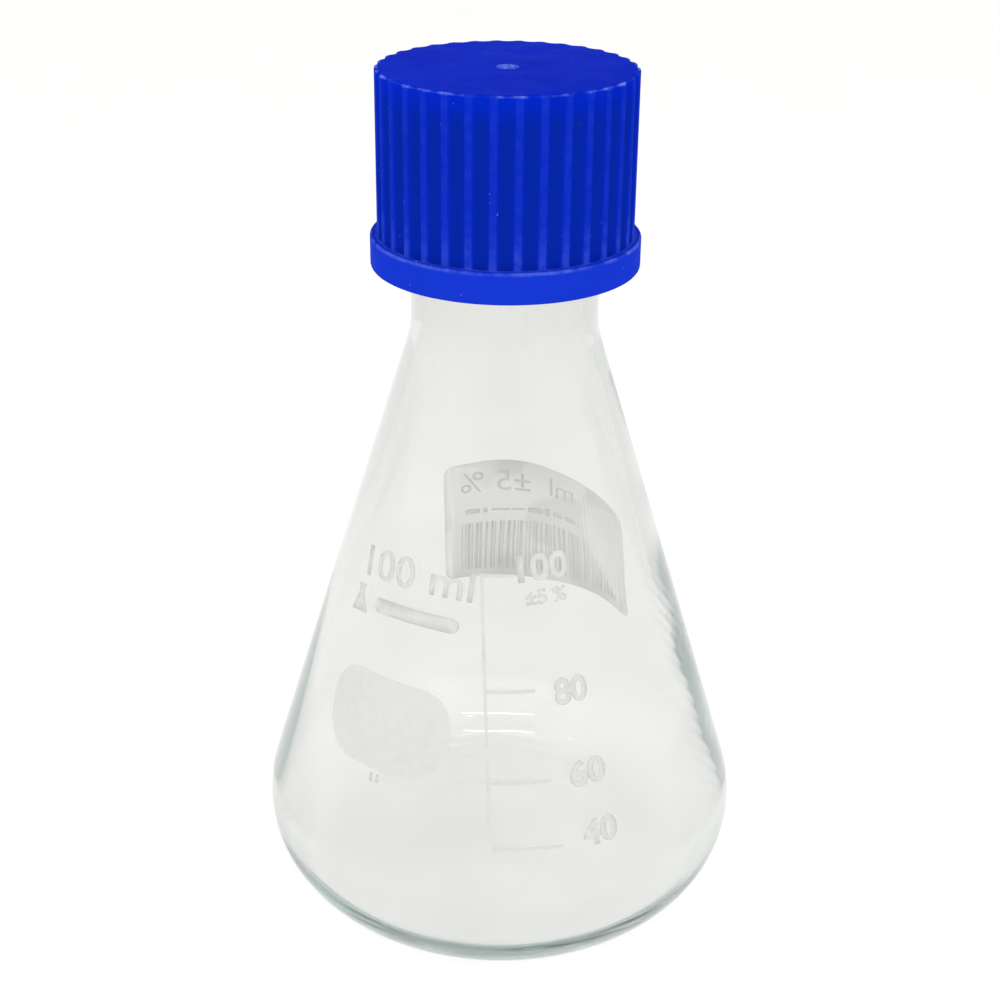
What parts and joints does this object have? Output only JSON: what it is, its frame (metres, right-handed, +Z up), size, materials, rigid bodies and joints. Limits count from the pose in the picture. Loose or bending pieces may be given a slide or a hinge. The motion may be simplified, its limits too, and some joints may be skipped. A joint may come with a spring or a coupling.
{
  "type": "conical flask with screw cap",
  "caption": "Clear glass conical flask with a screw neck, a fluted screw cap with a faced liner, printed graduations, a writing patch and a label on the rear.",
  "frame": {"origin": "centre of the flask's foot, on the surface that it stands on", "axes": "+Z up along the axis of the flask and the cap, -Y towards the printed graduations"},
  "size_m": [0.064, 0.064, 0.112],
  "materials": {
    "clear_glass": "clear, fire-polished",
    "cap_plastic": "moulded, semi-matt",
    "silicone": "satin",
    "facing_film": "smooth film",
    "white_enamel": "fired, matt",
    "label_paper": "coated label stock"
  },
  "bodies": {
    "flask": {"flask": "clear_glass", "graduation_scale": "white_enamel", "marking_spot": "white_enamel", "rear_label": "label_paper"},
    "liner": {"cap_liner": "silicone", "liner_facing": "facing_film"},
    "cap": {"screw_cap": "cap_plastic"}
  },
  "joints": [
    {"name": "cap_rise", "type": "slide", "parent": "flask", "child": "liner", "axis": [0, 0, 1], "range_m": [0, 0.021]},
    {"name": "cap_turn", "type": "hinge", "parent": "liner", "child": "cap", "pos_m": [0, 0, 0.1], "axis": [0, 0, 1], "range_deg": [0, 2160]}
  ],
  "couplings": [
    {"joint": "cap_rise", "follows": "cap_turn", "m_per_rad": 0.00055704}
  ]
}
